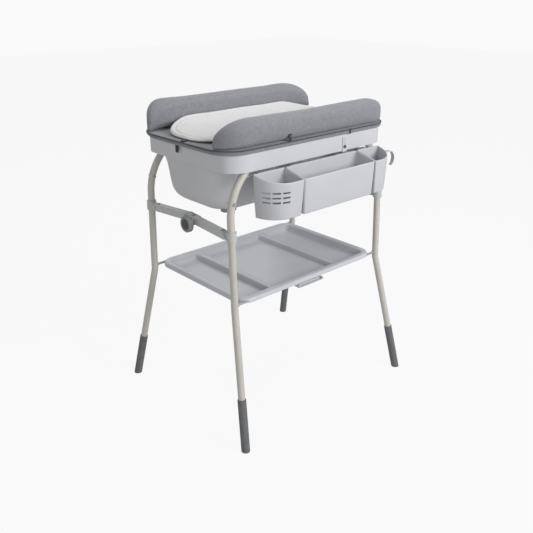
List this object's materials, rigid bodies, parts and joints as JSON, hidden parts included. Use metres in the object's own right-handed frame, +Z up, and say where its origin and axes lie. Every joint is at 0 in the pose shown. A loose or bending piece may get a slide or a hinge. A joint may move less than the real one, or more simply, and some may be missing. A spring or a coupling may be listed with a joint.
{
  "type": "changing table",
  "caption": "Folding changing table: padded mat with side bolsters over a bath tub, bent-tube splayed legs, storage tray, folding side links and hanging containers.",
  "frame": {"origin": "centre of the bounding box at floor level", "axes": "+Z up, -Y is the front with the hanging containers, +X to the right seen from the front"},
  "size_m": [0.7652, 0.6394, 1.001],
  "materials": {
    "frame_paint": "satin",
    "link_paint": "satin",
    "pin_steel": "satin",
    "sleeve_plastic": "matt",
    "shell_plastic": "satin",
    "hub_plastic": "matt",
    "wheel_rubber": "matt",
    "foot_rubber": "matt",
    "board_plastic": "matt",
    "melange_fabric": "woven melange",
    "pad_fabric": "quilted cotton",
    "button_plastic": "matt"
  },
  "bodies": {
    "back_frame": {"back_rail": "frame_paint", "back_rail_plugs": "pin_steel", "back_left_leg": "frame_paint", "back_right_leg": "frame_paint", "back_frame_pins": "pin_steel", "back_tray_rod": "frame_paint", "back_left_collar": "link_paint", "back_right_collar": "link_paint", "back_collar_pins": "pin_steel"},
    "left_rear_link": {"left_rear_link": "link_paint", "left_knee_pin": "pin_steel"},
    "left_front_link": {"left_front_link": "link_paint", "left_wheel_axle": "pin_steel"},
    "front_frame": {"front_rail": "frame_paint", "front_rail_plugs": "pin_steel", "front_left_leg": "frame_paint", "front_right_leg": "frame_paint", "front_frame_pins": "pin_steel", "front_tray_rod": "frame_paint", "front_left_collar": "link_paint", "front_right_collar": "link_paint", "front_collar_pins": "pin_steel", "bin_bar": "frame_paint"},
    "right_rear_link": {"right_rear_link": "link_paint", "right_knee_pin": "pin_steel"},
    "right_front_link": {"right_front_link": "link_paint", "right_wheel_axle": "pin_steel"},
    "left_wheel": {"left_wheel": "wheel_rubber", "left_wheel_hub": "hub_plastic"},
    "right_wheel": {"right_wheel": "wheel_rubber", "right_wheel_hub": "hub_plastic"},
    "back_left_foot": {"back_left_foot": "sleeve_plastic"},
    "back_right_foot": {"back_right_foot": "sleeve_plastic"},
    "front_left_foot": {"front_left_foot": "sleeve_plastic"},
    "front_right_foot": {"front_right_foot": "sleeve_plastic"},
    "tub": {"bath_tub": "shell_plastic", "tub_feet": "foot_rubber", "tub_clips": "shell_plastic", "mat_lugs": "shell_plastic", "tub_latch": "shell_plastic"},
    "latch_button": {"latch_button": "button_plastic"},
    "mat": {"mat_board": "board_plastic", "mat_base": "melange_fabric", "bolster_front": "melange_fabric", "bolster_back": "melange_fabric", "loose_pad": "pad_fabric", "pad_strap": "melange_fabric", "mat_hinge": "board_plastic"},
    "tray": {"storage_tray": "shell_plastic", "tray_front_clips": "shell_plastic", "tray_back_clips": "shell_plastic", "tray_handle": "shell_plastic"},
    "left_cup": {"left_cup": "shell_plastic"},
    "mid_bin": {"mid_bin": "shell_plastic"},
    "right_cup": {"right_cup": "shell_plastic", "bag_hook": "shell_plastic"}
  },
  "joints": [
    {"name": "fold", "type": "hinge", "parent": "back_frame", "child": "left_rear_link", "pos_m": [-0.324, 0.17699, 0.66], "axis": [1, 0, 0], "range_deg": [0, 72]},
    {"name": "left_knee", "type": "hinge", "parent": "left_rear_link", "child": "left_front_link", "pos_m": [-0.324, 0, 0.673], "axis": [1, 0, 0], "range_deg": [-144, 0]},
    {"name": "front_frame_pivot", "type": "hinge", "parent": "left_front_link", "child": "front_frame", "pos_m": [-0.324, -0.17699, 0.66], "axis": [1, 0, 0], "range_deg": [0, 72]},
    {"name": "right_fold", "type": "hinge", "parent": "back_frame", "child": "right_rear_link", "pos_m": [0.324, 0.17699, 0.66], "axis": [1, 0, 0], "range_deg": [0, 72]},
    {"name": "right_knee", "type": "hinge", "parent": "right_rear_link", "child": "right_front_link", "pos_m": [0.324, 0, 0.673], "axis": [1, 0, 0], "range_deg": [-144, 0]},
    {"name": "left_wheel_spin", "type": "hinge", "parent": "left_front_link", "child": "left_wheel", "pos_m": [-0.35, -0.028, 0.661], "axis": [1, 0, 0], "continuous": true},
    {"name": "right_wheel_spin", "type": "hinge", "parent": "right_front_link", "child": "right_wheel", "pos_m": [0.35, -0.028, 0.661], "axis": [1, 0, 0], "continuous": true},
    {"name": "tub_tilt", "type": "hinge", "parent": "back_frame", "child": "tub", "pos_m": [0, 0.19534, 0.88], "axis": [-1, 0, 0], "range_deg": [0, 92.5]},
    {"name": "latch_press", "type": "slide", "parent": "tub", "child": "latch_button", "axis": [0, 1, 0], "range_m": [0, 0.003], "stiffness_N_per_m": 600, "springref_m": -0.002},
    {"name": "mat_lift", "type": "hinge", "parent": "tub", "child": "mat", "pos_m": [0, 0.2204, 0.8909], "axis": [-1, 0, 0], "range_deg": [0, 62]},
    {"name": "tray_tilt", "type": "hinge", "parent": "back_frame", "child": "tray", "pos_m": [0, 0.21141, 0.446], "axis": [-1, 0, 0], "range_deg": [0, 80]},
    {"name": "left_cup_tilt", "type": "hinge", "parent": "front_frame", "child": "left_cup", "pos_m": [-0.19, -0.19745, 0.823], "axis": [-1, 0, 0], "range_deg": [0, 15]},
    {"name": "mid_bin_tilt", "type": "hinge", "parent": "front_frame", "child": "mid_bin", "pos_m": [0.029, -0.19745, 0.823], "axis": [-1, 0, 0], "range_deg": [0, 15]},
    {"name": "right_cup_tilt", "type": "hinge", "parent": "front_frame", "child": "right_cup", "pos_m": [0.24, -0.19745, 0.823], "axis": [-1, 0, 0], "range_deg": [0, 15]},
    {"name": "back_left_foot_height", "type": "slide", "parent": "back_frame", "child": "back_left_foot", "axis": [-0.1017, 0.2123, -0.9719], "range_m": [0, 0.05]},
    {"name": "back_right_foot_height", "type": "slide", "parent": "back_frame", "child": "back_right_foot", "axis": [0.1017, 0.2123, -0.9719], "range_m": [0, 0.05]},
    {"name": "front_left_foot_height", "type": "slide", "parent": "front_frame", "child": "front_left_foot", "axis": [-0.1017, -0.2123, -0.9719], "range_m": [0, 0.05]},
    {"name": "front_right_foot_height", "type": "slide", "parent": "front_frame", "child": "front_right_foot", "axis": [0.1017, -0.2123, -0.9719], "range_m": [0, 0.05]}
  ],
  "couplings": [
    {"joint": "left_knee", "follows": "fold", "ratio": -2},
    {"joint": "front_frame_pivot", "follows": "fold", "ratio": 1},
    {"joint": "right_fold", "follows": "fold", "ratio": 1},
    {"joint": "right_knee", "follows": "fold", "ratio": -2},
    {"joint": "tub_tilt", "follows": "fold", "ratio": 1.28},
    {"joint": "tray_tilt", "follows": "fold", "ratio": 1.1}
  ]
}
